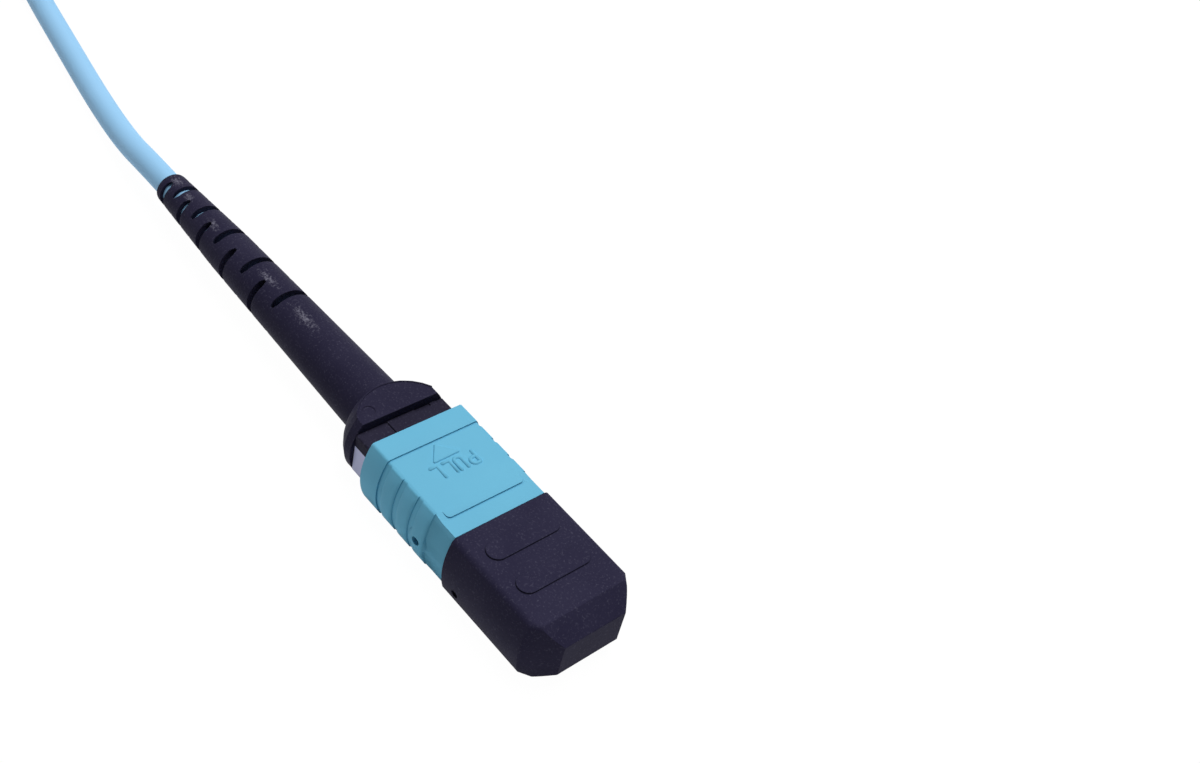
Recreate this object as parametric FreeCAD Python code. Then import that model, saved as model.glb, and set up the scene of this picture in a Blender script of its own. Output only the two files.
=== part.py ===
import FreeCAD
import Part

import math
import os

# Multi-fibre push-on connector, pinned, on a round cable, with its dust cap on.
# Millimetres. +X runs from the cable towards the cap, +Y across the width, +Z up.
# The origin is under the middle of the connector, on the surface that it lies on.
# Every piece is modelled about the connector's axis and lifted to its height on saving.

# ---------------------------------------------------------------- driving sizes

# Lengths along the axis, from the cable to the cap.
boot_length = 43.9
sleeve_clearway = 2.7        # boot shoulder to sleeve, the room that the sleeve slides into
sleeve_length = 13.2
cap_gap = 0.1
cap_length = 14.15

# Coupling sleeve: flat top and bottom, bulged narrow sides, sliding on the housing.
sleeve_side_clearance = 0.25
sleeve_top_clearance = 0.15
sleeve_side_wall = 0.8       # at the thickest part of the bulge
sleeve_top_wall = 1.08
sleeve_bulge = 0.95
sleeve_step = 0.15           # collar down to body, and body down to nose
collar_length = 2.6
nose_end_length = 3.05
panel_inset = 0.7            # raised panel's sides, in from the body's flat
panel_reach = 0.95           # raised panel past the last grip
sleeve_arris = 0.35
grip_count = 3
grip_pitch = 2.5
grip_rise_at = 0.6           # behind it, the body's own surface
grip_height = 0.27
grip_step = 0.09             # what is left of the grip at its front edge
eye_radius = 0.5             # round hole in the narrow side
eye_pad_radius = 1.25
eye_pad_height = 0.07
eye_back = 4.05              # from the sleeve's front end
eye_drop = 0.5
lug_length = 0.9             # inside the sleeve, pushed by the coupling spring
lug_half_height = 0.5
lug_from_front = 2.5

# Inner housing.
housing_half_width = 5.2
housing_half_height = 2.45
housing_arris = 0.25
housing_rear_gap = 0.1       # to the boot's shoulder
nose_shoulder = 0.4          # the nose is narrower than the rear on each side
nose_reach = 9.0             # past the sleeve
nose_start = 1.2             # nose begins this far inside the sleeve's front end
cavity_side_clearance = 0.1  # round the ferrule's flange
cavity_top_clearance = 0.15
land_edge = 1.65             # the raised land runs from this far on the -Y side of the axis
land_height = 0.12
land_margin = 1.0            # and stops this far short of the +Y side
relief_near = 1.6            # small relief in the land's rear edge
relief_far = 3.45
relief_length = 0.35
key_half_width = 1.45
key_height = 0.8
key_length = 6.0
key_back = 1.6               # from the nose's front end
latch_pocket_length = 2.2
latch_pocket_depth = 0.8
latch_pocket_back = 5.4      # from the nose's front end
window_from_rear = 3.1
window_length = 1.9
window_half_height = 0.95
mark_height = 3.3
mark_low = -2.3
mark_thickness = 0.12
mark_length = 3.4

# MT ferrule and what it carries.
ferrule_half_width = 3.2
ferrule_half_height = 1.25
ferrule_length = 8.0
ferrule_proud = 0.6          # past the housing's nose
flange_side_lip = 0.15       # the flange past the ferrule's front part
flange_top_lip = 0.35
flange_length = 1.8
fibre_count = 12
fibre_sides = 8              # a fibre is drawn with flats
fibre_pitch = 0.25
fibre_radius = 0.0625
ferrule_window_length = 2.2
ferrule_window_half_width = 1.6
pin_radius = 0.349
pin_spacing = 4.6
pin_proud = 2.3
clamp_length = 1.7
ribbon_half_width = 1.55
ribbon_half_height = 0.16
ribbon_tail = 1.5            # ends this far inside the crimp body's tail
fibre_end_length = 3.0
ferrule_travel = 0.7         # backwards, against the main spring
ferrule_boot_half_width = 1.95
ferrule_boot_half_height = 0.62
ferrule_boot_length = 3.0
ferrule_boot_inset = 1.5

# Springs.
main_wire_radius = 0.22
main_spring_half_width = 3.0
main_spring_half_height = 1.3
main_spring_turns = 4
wire_sides = 6
coil_steps = 12              # straight pieces in a turn
coupling_wire_radius = 0.12
coupling_coil_radius = 0.5
coupling_turns = 5
coupling_spring_length = 6.0
spring_channel_half_height = 0.78
cavity_side_wall = 0.2       # between the cavity and the coupling spring's channel
spring_play = 0.05

# Crimp body, crimp ring and yarn.
crimp_front_reach = 7.6      # into the housing
crimp_wall = 0.55
crimp_flange_length = 1.2
crimp_flange_half_width = 4.4
crimp_flange_half_height = 2.1
crimp_tail_radius = 1.95
crimp_tail_bore = 1.2
crimp_tail_length = 6.5
crimp_rib_count = 3
crimp_rib_depth = 0.15
yarn_thickness = 0.15
ring_wall = 0.35
ring_tail_length = 4.2
latch_reach = 0.9

# Boot.
boot_tip_radius = 1.88
boot_middle_radius = 2.54
boot_base_radius = 3.3
boot_middle_at = 12.6        # from the tip
boot_tip_round = 0.4
shoulder_radius = 5.62
shoulder_land = 1.0
shoulder_flare = 2.7
shoulder_bulge = 0.26        # of the flare's outline past a straight line
shoulder_drop = 0.38         # under the sleeve's top face
shoulder_recess = 1.5
ejector_radius = 0.65        # faint round mark on the shoulder's flat
ejector_depth = 0.05
ejector_back = 1.3           # from the shoulder's front
ejector_across = 2.9
slot_count = 10
slot_width = 0.8
slot_first = 1.5             # tip to the first slot
slot_pitch = 1.75
slot_pitch_growth = 0.085
slot_half_angle = 62.0
slot_end_depth = 0.6         # a slot ends in a wall this deep
slot_turn = 11.0

# Dust cap.
cap_overhang = 0.05          # past the sleeve on each side
cap_bulge = 0.68
cap_arris = 0.75
cap_end_arris = 0.15
bar_height = 0.15            # the two grip bars stand on the cap's faces
bar_width = 2.2
bar_half_length = 4.15
bar_first = 3.2              # cap's rear end to the first bar's middle
bar_pitch = 4.45
cap_side_slope = 2.85        # the sides start to draw in this far from the end
cap_top_slope = 2.1
cap_end_half_width = 3.65
cap_end_half_height = 2.0
cap_fit = 0.12
cap_front_wall = 1.5
cap_eye_radius = 0.45
cap_eye_from_rear = 2.0
cap_eye_drop = 1.95

# Cable.
cable_radius = 1.5
jacket_wall = 0.5
running_clearance = 0.08
free_fit = 0.05

# Route of the free cable, measured from the boot's tip: along, across, up from the axis.
# Its last point is where it runs in to the coil, along the coil's outer turn.
cable_route = (
    (0.0, 0.0, 0.0),
    (-4.5, 0.0, 0.0),
    (-11.5, 0.9, -1.67),
    (-21.0, 2.3, -2.3),
    (-45.0, 6.3, -2.3),
    (-69.0, 11.2, -1.975),
)

# Coil of the rest of the cable, and the cable's stripped end, which lies on the coil.
coil_radius = 16.5           # at the middle of its turns
coil_columns = 3
coil_layers = 3
coil_pitch = 3.05            # from one turn to the next
coil_turns = 8.8
tie_thickness = 0.3
tie_width = 5.0
tie_turn = -70.0             # keeps the ties clear of the bare end
bare_yarn_length = 6.0
bare_yarn_spread = 1.35
bare_fibre_length = 14.0
coated_fibre_radius = 0.125
fibre_tube_radius = 0.8

# ---------------------------------------------------------------- stations on the axis

overall_length = boot_length + sleeve_clearway + sleeve_length + cap_gap + cap_length
x_tip = -overall_length / 2
x_shoulder = x_tip + boot_length
x_sleeve = x_shoulder + sleeve_clearway
x_sleeve_front = x_sleeve + sleeve_length
x_cap = x_sleeve_front + cap_gap
x_cap_front = x_cap + cap_length
x_housing = x_shoulder + housing_rear_gap
x_nose = x_sleeve_front + nose_reach
x_ferrule = x_nose + ferrule_proud
x_ferrule_rear = x_ferrule - ferrule_length
x_flange_front = x_ferrule_rear + flange_length
x_clamp = x_ferrule_rear - clamp_length
x_crimp_front = x_housing + crimp_front_reach
x_crimp_flange = x_housing - crimp_flange_length
x_crimp_tail = x_crimp_flange - crimp_tail_length
x_ring_tail = x_crimp_tail - ring_tail_length
x_lug = x_sleeve_front - lug_from_front - lug_length
x_lug_front = x_lug + lug_length
x_coupling_seat = x_lug - coupling_spring_length

sleeve_bore_half_width = housing_half_width + sleeve_side_clearance
sleeve_bore_half_height = housing_half_height + land_height + sleeve_top_clearance
sleeve_half_width = sleeve_bore_half_width + sleeve_side_wall
sleeve_half_flat = sleeve_half_width - sleeve_bulge
sleeve_half_height = sleeve_bore_half_height + sleeve_top_wall
axis_height = sleeve_half_height
body_half_flat = sleeve_half_flat - sleeve_step / 3
body_half_width = sleeve_half_width - sleeve_step
body_half_height = sleeve_half_height - sleeve_step
nose_end_half_width = body_half_width - sleeve_step
nose_end_half_height = body_half_height - sleeve_step
panel_half_width = body_half_flat - panel_inset
nose_half_width = housing_half_width - nose_shoulder
flange_half_width = ferrule_half_width + flange_side_lip
flange_half_height = ferrule_half_height + flange_top_lip
cavity_half_width = flange_half_width + cavity_side_clearance
cavity_half_height = flange_half_height + cavity_top_clearance
spring_channel_floor = cavity_half_width + cavity_side_wall
shoulder_half_height = sleeve_half_height - shoulder_drop
yarn_radius = crimp_tail_radius + yarn_thickness
ring_radius = yarn_radius + ring_wall
ring_tail_radius = cable_radius + ring_wall
boot_bore = cable_radius + running_clearance
crimp_half_width = cavity_half_width - free_fit
crimp_half_height = cavity_half_height - free_fit
cap_half_width = sleeve_half_width + cap_overhang
cap_half_flat = cap_half_width - cap_bulge
cap_half_height = sleeve_half_height - bar_height


# ---------------------------------------------------------------- small builders

def vec(x, y, z):
    return FreeCAD.Vector(x, y, z)


def block(x0, x1, y0, y1, z0, z1):
    return Part.makeBox(x1 - x0, y1 - y0, z1 - z0, vec(x0, y0, z0))


def bar(x0, x1, half_width, half_height):
    """A rectangular bar along the axis."""
    return block(x0, x1, -half_width, half_width, -half_height, half_height)


def rod(x0, x1, radius, y=0.0, z=0.0):
    return Part.makeCylinder(radius, x1 - x0, vec(x0, y, z), vec(1, 0, 0))


def tube(x0, x1, radius, bore):
    return rod(x0, x1, radius).cut(rod(x0, x1, bore))


def oval_wire(x, half_flat, half_width, half_height):
    """Section across the axis: flat above and below, an arc on each narrow side."""
    right_top = vec(x, half_flat, half_height)
    right_low = vec(x, half_flat, -half_height)
    left_top = vec(x, -half_flat, half_height)
    left_low = vec(x, -half_flat, -half_height)
    return Part.Wire([
        Part.LineSegment(left_top, right_top).toShape(),
        Part.Arc(right_top, vec(x, half_width, 0), right_low).toShape(),
        Part.LineSegment(right_low, left_low).toShape(),
        Part.Arc(left_low, vec(x, -half_width, 0), left_top).toShape(),
    ])


def oval_bar(x0, x1, half_flat, half_width, half_height):
    face = Part.Face(oval_wire(x0, half_flat, half_width, half_height))
    return face.extrude(vec(x1 - x0, 0, 0))


def prism_y(points, half_width):
    """A closed outline of (x, z) points, extruded across the width."""
    corners = [vec(x, -half_width, z) for x, z in points]
    face = Part.Face(Part.makePolygon(corners + corners[:1]))
    return face.extrude(vec(0, 2 * half_width, 0))


def slot_prism(x_middle, width, half_length, z0, z1):
    """A round-ended bar lying across the width."""
    radius = width / 2
    straight = half_length - radius
    solid = block(x_middle - radius, x_middle + radius, -straight, straight, z0, z1)
    for side in (-1, 1):
        solid = solid.fuse(Part.makeCylinder(radius, z1 - z0, vec(x_middle, side * straight, z0)))
    return solid.removeSplitter()


def both_sides(solid):
    """The solid with its mirror image across the width."""
    return [solid, solid.mirror(vec(0, 0, 0), vec(0, 1, 0))]


def above_and_below(solid):
    return [solid, solid.mirror(vec(0, 0, 0), vec(0, 0, 1))]


def fuse_all(solids):
    return solids[0].multiFuse(solids[1:]).removeSplitter()


def long_edges(shape, x0, x1):
    """Edges that run along the axis over the whole stretch from x0 to x1."""
    found = []
    for edge in shape.Edges:
        box = edge.BoundBox
        if box.YLength < 0.01 and box.ZLength < 0.01:
            if abs(box.XMin - x0) < 0.01 and abs(box.XMax - x1) < 0.01:
                found.append(edge)
    return found


def save(name, shape):
    shape = shape.copy()
    shape.translate(vec(0, 0, axis_height))
    if not shape.isValid():
        raise ValueError(name + " is not a valid shape")
    print("%-24s solids %d  volume %.4f" % (name, len(shape.Solids), shape.Volume))
    shape.exportStep("parts/%s.step" % name)


# ---------------------------------------------------------------- coupling sleeve

def grip(index):
    """One grip on the -Y narrow side: a hump that rises quickly and eases off forwards."""
    rear = x_sleeve + collar_length + index * grip_pitch
    front = rear + grip_pitch
    bulge = body_half_width - body_half_flat
    arc = (body_half_height ** 2 + bulge ** 2) / (2 * bulge)
    centre_y = arc - body_half_width
    crest = rear + grip_rise_at + (grip_pitch - grip_rise_at) * 0.4
    foot = vec(rear + grip_rise_at, centre_y - arc + 0.02, 0)
    rise = vec(rear + grip_rise_at + 0.3, centre_y - arc - grip_height * 0.78, 0)
    top = vec(crest, centre_y - arc - grip_height, 0)
    ease = vec((crest + front) / 2, centre_y - arc - (grip_height + grip_step) / 2 - 0.03, 0)
    edge = vec(front, centre_y - arc - grip_step, 0)
    root = centre_y - arc + sleeve_side_wall / 3
    outline = Part.Arc(foot, rise, top).toShape().discretize(4)
    outline += Part.Arc(top, ease, edge).toShape().discretize(4)[1:]
    outline += [vec(front, root, 0), vec(foot.x, root, 0), foot]
    half_angle = math.degrees(math.asin(body_half_height / arc))
    face = Part.Face(Part.makePolygon(outline))
    hub = vec(0, centre_y, 0)
    face.rotate(hub, vec(1, 0, 0), -half_angle)
    hump = face.revolve(hub, vec(1, 0, 0), 2 * half_angle)
    envelope = oval_bar(rear, front, body_half_flat + grip_step, body_half_width + grip_height,
                        body_half_height)
    envelope = envelope.makeFillet(sleeve_arris, long_edges(envelope, rear, front))
    return hump.common(envelope)


def coupling_sleeve():
    x_body = x_sleeve + collar_length
    x_nose_end = x_sleeve_front - nose_end_length
    x_panel = x_nose_end + panel_reach
    collar = oval_bar(x_sleeve, x_body, sleeve_half_flat, sleeve_half_width, sleeve_half_height)
    collar = collar.makeFillet(sleeve_arris, long_edges(collar, x_sleeve, x_body))
    body = oval_bar(x_body, x_nose_end, body_half_flat, body_half_width, body_half_height)
    body = body.makeFillet(sleeve_arris, long_edges(body, x_body, x_nose_end))
    front = oval_bar(x_nose_end, x_sleeve_front, body_half_flat, nose_end_half_width,
                     body_half_height)
    front = front.common(prism_y([
        (x_nose_end, body_half_height), (x_panel, nose_end_half_height),
        (x_sleeve_front, nose_end_half_height), (x_sleeve_front, -nose_end_half_height),
        (x_panel, -nose_end_half_height), (x_nose_end, -body_half_height)], sleeve_half_width))
    panel = bar(x_nose_end, x_panel, panel_half_width, body_half_height)
    upright = [edge for edge in panel.Edges
               if edge.BoundBox.XMin > x_panel - 0.01 and edge.BoundBox.YLength < 0.01]
    panel = panel.makeFillet(0.45, upright)
    solids = [collar, body, front, panel]
    for index in range(grip_count):
        solids += both_sides(grip(index))
    x_eye = x_sleeve_front - eye_back
    pad_face = oval_bar(x_body, x_sleeve_front, body_half_flat + eye_pad_height,
                        body_half_width + eye_pad_height, body_half_height)
    eye_pads = Part.makeCylinder(eye_pad_radius, 4 * sleeve_half_width,
                                 vec(x_eye, -2 * sleeve_half_width, -eye_drop), vec(0, 1, 0))
    shell = fuse_all(solids + [eye_pads.common(pad_face)])
    bore = bar(x_sleeve - 1, x_sleeve_front + 1, sleeve_bore_half_width, sleeve_bore_half_height)
    shell = shell.cut(bore)
    lug = block(x_lug, x_lug_front, spring_channel_floor + spring_play * 3,
                sleeve_bore_half_width + sleeve_side_wall / 4, -lug_half_height, lug_half_height)
    shell = fuse_all([shell] + both_sides(lug))
    eyes = Part.makeCylinder(eye_radius, 4 * sleeve_half_width,
                             vec(x_eye, -2 * sleeve_half_width, -eye_drop), vec(0, 1, 0))
    return shell.cut(eyes)


# ---------------------------------------------------------------- inner housing

def inner_housing():
    x_nose_start = x_sleeve_front - nose_start
    rear = bar(x_housing, x_nose_start, housing_half_width, housing_half_height)
    rear = rear.makeFillet(housing_arris, long_edges(rear, x_housing, x_nose_start))
    land = block(x_housing, x_nose_start - 1, -land_edge, housing_half_width - land_margin,
                 0, housing_half_height + land_height)
    land = land.cut(block(x_housing, x_housing + relief_length, relief_near, relief_far,
                          housing_half_height, sleeve_half_height))
    nose = bar(x_nose_start, x_nose, nose_half_width, housing_half_height)
    nose = nose.makeFillet(housing_arris, long_edges(nose, x_nose_start, x_nose))
    key = block(x_nose - key_back - key_length, x_nose - key_back, -key_half_width, key_half_width,
                0, housing_half_height + key_height)
    solid = fuse_all([rear, land, nose, key])
    solid = solid.cut(bar(x_housing - 1, x_flange_front, cavity_half_width, cavity_half_height))
    solid = solid.cut(bar(x_flange_front - 1, x_nose + 1, ferrule_half_width + free_fit,
                          ferrule_half_height + free_fit))
    channel = block(x_coupling_seat, x_lug_front + spring_play, spring_channel_floor,
                    housing_half_width + 1, -spring_channel_half_height, spring_channel_half_height)
    window = block(x_housing + window_from_rear, x_housing + window_from_rear + window_length,
                   0, housing_half_width + 1, -window_half_height, window_half_height)
    pocket_end = x_nose - latch_pocket_back
    pocket = block(pocket_end - latch_pocket_length, pocket_end,
                   nose_half_width - latch_pocket_depth, nose_half_width + 1, -3, 3)
    for cutter in (channel, window, pocket):
        for side in both_sides(cutter):
            solid = solid.cut(side)
    return solid.cut(fibre_one_mark())


def fibre_one_mark():
    """The pale mark in the narrow side, on the side of the first fibre."""
    return block(x_housing, x_housing + mark_length, -housing_half_width,
                 -housing_half_width + mark_thickness, mark_low, mark_low + mark_height)


# ---------------------------------------------------------------- ferrule group

def mt_ferrule():
    front = bar(x_flange_front, x_ferrule, ferrule_half_width, ferrule_half_height)
    front = front.makeChamfer(0.12, [e for e in front.Edges if e.BoundBox.XMin > x_ferrule - 0.01])
    flange = bar(x_ferrule_rear, x_flange_front, flange_half_width, flange_half_height)
    solid = fuse_all([front, flange])
    for side in (-1, 1):
        solid = solid.cut(rod(x_ferrule_rear - 1, x_ferrule + 1, pin_radius + 0.005,
                              y=side * pin_spacing / 2))
    pocket_front = x_ferrule - fibre_end_length
    solid = solid.cut(bar(x_ferrule_rear - 1, pocket_front, ribbon_half_width + 0.1,
                          ribbon_half_height + 0.1))
    solid = solid.cut(bar(x_ferrule_rear - 1, x_ferrule_rear + ferrule_boot_inset,
                          ferrule_boot_half_width, ferrule_boot_half_height))
    solid = solid.cut(block(pocket_front - ferrule_window_length, pocket_front - 0.3,
                            -ferrule_window_half_width, ferrule_window_half_width, 0, 3))
    for y in fibre_places():
        solid = solid.cut(fibre(pocket_front - 1, x_ferrule + 1, fibre_radius, y))
    return solid


def fibre(x0, x1, radius, y, z=0.0):
    """A fibre along the axis, its flats touching the circle of its radius."""
    reach = radius / math.cos(math.pi / fibre_sides)
    corners = []
    for index in range(fibre_sides):
        angle = 2 * math.pi * (index + 0.5) / fibre_sides
        corners.append(vec(x0, y + reach * math.cos(angle), z + reach * math.sin(angle)))
    face = Part.Face(Part.makePolygon(corners + corners[:1]))
    return face.extrude(vec(x1 - x0, 0, 0))


def fibre_places():
    first = -(fibre_count - 1) / 2
    return [(first + index) * fibre_pitch for index in range(fibre_count)]


def fibre_ends():
    return Part.makeCompound([fibre(x_ferrule - fibre_end_length, x_ferrule, fibre_radius, y)
                              for y in fibre_places()])


def guide_pin(side):
    straight = rod(x_clamp, x_ferrule + pin_proud, pin_radius, y=side * pin_spacing / 2)
    tip = [edge for edge in straight.Edges if edge.BoundBox.XMin > x_ferrule + pin_proud - 0.01]
    return straight.makeChamfer(pin_radius * 0.5, tip)


def pin_clamp():
    solid = bar(x_clamp, x_ferrule_rear, flange_half_width - 0.15, flange_half_height - 0.1)
    solid = solid.cut(bar(x_clamp - 1, x_ferrule_rear + 1, ferrule_boot_half_width + 0.03,
                          ferrule_boot_half_height + 0.2))
    for side in (-1, 1):
        solid = solid.cut(rod(x_clamp - 1, x_ferrule_rear + 1, pin_radius + 0.005,
                              y=side * pin_spacing / 2))
    return solid


def ferrule_boot():
    front = x_ferrule_rear + ferrule_boot_inset
    solid = bar(front - ferrule_boot_length, front, ferrule_boot_half_width - 0.02,
                ferrule_boot_half_height - 0.02)
    return solid.cut(bar(front - ferrule_boot_length - 1, front + 1, ribbon_half_width + 0.01,
                         ribbon_half_height + 0.01))


def fibre_ribbon():
    """Full width ahead of the crimp body's bore, with room for the ferrule's travel."""
    x_full = x_crimp_flange + ferrule_travel + free_fit
    flat = bar(x_full, x_ferrule - fibre_end_length, ribbon_half_width, ribbon_half_height)
    drawn_in = bar(x_crimp_tail + ribbon_tail, x_full, crimp_tail_bore - free_fit,
                   ribbon_half_height)
    return flat.fuse(drawn_in).removeSplitter()


# ---------------------------------------------------------------- springs

def coil(x0, x1, half_width, half_height, wire_radius, turns, y=0.0):
    """A round or oval coil spring along the axis, its wire drawn with flats."""
    advance = (x1 - x0 - 2 * wire_radius) / turns
    sections = []
    for step in range(coil_steps * turns + 1):
        turned = step / coil_steps
        angle = 2 * math.pi * turned
        middle = vec(x0 + wire_radius + advance * turned, y + half_width * math.cos(angle),
                     half_height * math.sin(angle))
        heading = vec(advance / (2 * math.pi), -half_width * math.sin(angle),
                      half_height * math.cos(angle)).normalize()
        outward = heading.cross(vec(1, 0, 0)).normalize()
        across = heading.cross(outward)
        corners = []
        for side in range(wire_sides):
            place = 2 * math.pi * side / wire_sides
            corners.append(middle + outward * (wire_radius * math.cos(place))
                           + across * (wire_radius * math.sin(place)))
        sections.append(Part.makePolygon(corners + corners[:1]))
    return Part.makeLoft(sections, True, True)


def main_spring():
    return coil(x_crimp_front + spring_play, x_clamp - spring_play, main_spring_half_width
                - main_wire_radius, main_spring_half_height, main_wire_radius, main_spring_turns)


def coupling_spring(side):
    y = side * (spring_channel_floor + spring_play + coupling_coil_radius + coupling_wire_radius)
    return coil(x_coupling_seat + spring_play, x_lug - spring_play, coupling_coil_radius,
                coupling_coil_radius, coupling_wire_radius, coupling_turns, y=y)


# ---------------------------------------------------------------- crimp body and ring

def crimp_body():
    front = bar(x_housing, x_crimp_front, crimp_half_width, crimp_half_height)
    flange = bar(x_crimp_flange, x_housing, crimp_flange_half_width, crimp_flange_half_height)
    flange = flange.makeFillet(0.4, long_edges(flange, x_crimp_flange, x_housing))
    tail = rod(x_crimp_tail, x_crimp_flange, crimp_tail_radius)
    pitch = (crimp_tail_length - 1.0) / crimp_rib_count
    for index in range(crimp_rib_count):
        x = x_crimp_tail + 0.5 + index * pitch
        tail = tail.cut(tube(x, x + pitch / 2, crimp_tail_radius + 1,
                             crimp_tail_radius - crimp_rib_depth))
    hook_front = x_housing + window_from_rear + window_length - free_fit
    hook = latch_hook(hook_front)
    solid = fuse_all([front, flange, tail] + both_sides(hook))
    solid = solid.cut(bar(x_housing, x_crimp_front + 1, crimp_half_width - crimp_wall,
                          crimp_half_height - crimp_wall))
    return solid.cut(rod(x_crimp_tail - 1, x_crimp_front, crimp_tail_bore).fuse(
        bar(x_crimp_flange, x_housing + 1, ribbon_half_width + 0.15, ribbon_half_height + 0.3)))


def latch_hook(hook_front):
    """A latch on the narrow side, ramped forwards, square behind."""
    rear = x_housing + window_from_rear + free_fit
    corners = [vec(rear, crimp_half_width - 0.2, -window_half_height + free_fit),
               vec(rear, crimp_half_width + latch_reach, -window_half_height + free_fit),
               vec(hook_front, crimp_half_width, -window_half_height + free_fit),
               vec(hook_front, crimp_half_width - 0.2, -window_half_height + free_fit)]
    face = Part.Face(Part.makePolygon(corners + corners[:1]))
    return face.extrude(vec(0, 0, 2 * (window_half_height - free_fit)))


def aramid_yarn():
    return tube(x_crimp_tail, x_crimp_flange - 0.4, yarn_radius, crimp_tail_radius)


def crimp_ring():
    large = tube(x_crimp_tail, x_crimp_flange - 0.4, ring_radius, yarn_radius)
    neck = tube(x_crimp_tail - ring_wall, x_crimp_tail, ring_radius, cable_radius)
    small = tube(x_ring_tail, x_crimp_tail - ring_wall, ring_tail_radius, cable_radius)
    return fuse_all([large, neck, small])


def jacket_in_boot():
    return tube(x_tip, x_crimp_tail, cable_radius, cable_radius - jacket_wall)


# ---------------------------------------------------------------- boot

def boot_outline():
    """Half section of the boot's outside, closed along the axis; its rounds have short flats."""
    x_land = x_shoulder - shoulder_land
    tip_start = vec(x_tip, 0, boot_tip_radius - boot_tip_round)
    tip_end = vec(x_tip + boot_tip_round, 0, boot_tip_radius)
    quarter = boot_tip_round * (1 - math.sqrt(0.5))
    tip_middle = vec(x_tip + quarter, 0, boot_tip_radius - quarter)
    flare_start = vec(x_land - shoulder_flare, 0, boot_base_radius)
    flare_end = vec(x_land, 0, shoulder_radius)
    flare = flare_end - flare_start
    outward = vec(-flare.z, 0, flare.x).normalize()
    flare_middle = (flare_start + flare_end) * 0.5 + outward * shoulder_bulge
    outline = [vec(x_tip, 0, 0)]
    outline += Part.Arc(tip_start, tip_middle, tip_end).toShape().discretize(4)
    outline.append(vec(x_tip + boot_middle_at, 0, boot_middle_radius))
    outline += Part.Arc(flare_start, flare_middle, flare_end).toShape().discretize(5)
    outline += [vec(x_shoulder, 0, shoulder_radius), vec(x_shoulder, 0, 0), vec(x_tip, 0, 0)]
    return outline


def slot_places():
    return [x_tip + slot_first + slot_pitch * index + slot_pitch_growth * index ** 2
            for index in range(slot_count)]


def boot_radius_at(x):
    """Outer radius of the boot's two tapers, close enough to place a slot."""
    middle = x_tip + boot_middle_at
    if x < middle:
        share = (x - x_tip) / boot_middle_at
        return boot_tip_radius + share * (boot_middle_radius - boot_tip_radius)
    share = (x - middle) / (boot_length - boot_middle_at)
    return boot_middle_radius + share * (boot_base_radius - boot_middle_radius)


def slot_cutter(x, half_length, z0, z1):
    """A bar across the width, with its ends rounded in three flats."""
    radius = slot_width / 2
    corners = []
    for side in (-1, 1):
        for corner in range(4):
            angle = math.pi * (corner / 3 - 0.5)
            corners.append(vec(x - side * radius * math.sin(angle),
                               side * (half_length - radius + radius * math.cos(angle)), z0))
    return Part.Face(Part.makePolygon(corners + corners[:1])).extrude(vec(0, 0, z1 - z0))


def bending_slot(index, x):
    """A pair of slots through the wall, opposite each other; the next is a quarter turn on."""
    radius = boot_radius_at(x)
    reach = radius * math.sin(math.radians(slot_half_angle))
    floor = radius * math.cos(math.radians(slot_half_angle)) - slot_end_depth
    solid = slot_cutter(x, reach, floor, radius + 2)
    pair = solid.fuse(solid.mirror(vec(0, 0, 0), vec(0, 0, 1)))
    turn = -slot_turn + 90.0 * (1 - index % 2)
    pair.rotate(vec(0, 0, 0), vec(1, 0, 0), turn)
    return pair


def strain_relief_boot():
    face = Part.Face(Part.makePolygon(boot_outline()))
    solid = face.revolve(vec(0, 0, 0), vec(1, 0, 0), 360)
    solid = solid.common(bar(x_tip - 1, x_shoulder + 1, 20, shoulder_half_height))
    solid = solid.cut(rod(x_tip - 1, x_shoulder, boot_bore))
    solid = solid.cut(rod(x_ring_tail - 0.5, x_crimp_tail - ring_wall, ring_tail_radius
                          + running_clearance))
    solid = solid.cut(rod(x_crimp_tail - ring_wall - 0.1, x_shoulder, ring_radius
                          + running_clearance))
    solid = solid.cut(bar(x_shoulder - shoulder_recess, x_shoulder + 1,
                          crimp_flange_half_width + running_clearance,
                          crimp_flange_half_height + running_clearance))
    for index, x in enumerate(slot_places()):
        solid = solid.cut(bending_slot(index, x))
    ejector = Part.makeCylinder(ejector_radius, 1, vec(x_shoulder - ejector_back, -ejector_across,
                                                       shoulder_half_height - ejector_depth))
    return solid.cut(ejector)


# ---------------------------------------------------------------- dust cap

def end_wire(solid, x):
    """The outline of the solid's flat end at x."""
    for face in solid.Faces:
        if face.BoundBox.XLength < 0.001 and abs(face.BoundBox.XMin - x) < 0.001:
            return face.OuterWire


def cap_outside():
    """Bulged sides drawn in straight to the end, and the top and bottom bevelled to it."""
    x_side = x_cap_front - cap_side_slope
    x_top = x_cap_front - cap_top_slope
    tall, low = cap_half_height, cap_end_half_height
    body = oval_bar(x_cap, x_side, cap_half_flat, cap_half_width, tall)
    body = body.makeFillet(cap_arris, long_edges(body, x_cap, x_side))
    end = bar(x_cap_front, x_cap_front + 1, cap_end_half_width, tall)
    end = end.makeFillet(cap_end_arris, long_edges(end, x_cap_front, x_cap_front + 1))
    taper = Part.makeLoft([end_wire(body, x_side), end_wire(end, x_cap_front)], True, True)
    bevels = prism_y([(x_side, tall), (x_top, tall), (x_cap_front, low), (x_cap_front, -low),
                      (x_top, -tall), (x_side, -tall)], cap_half_width + 1)
    return fuse_all([body, taper.common(bevels)])


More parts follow.
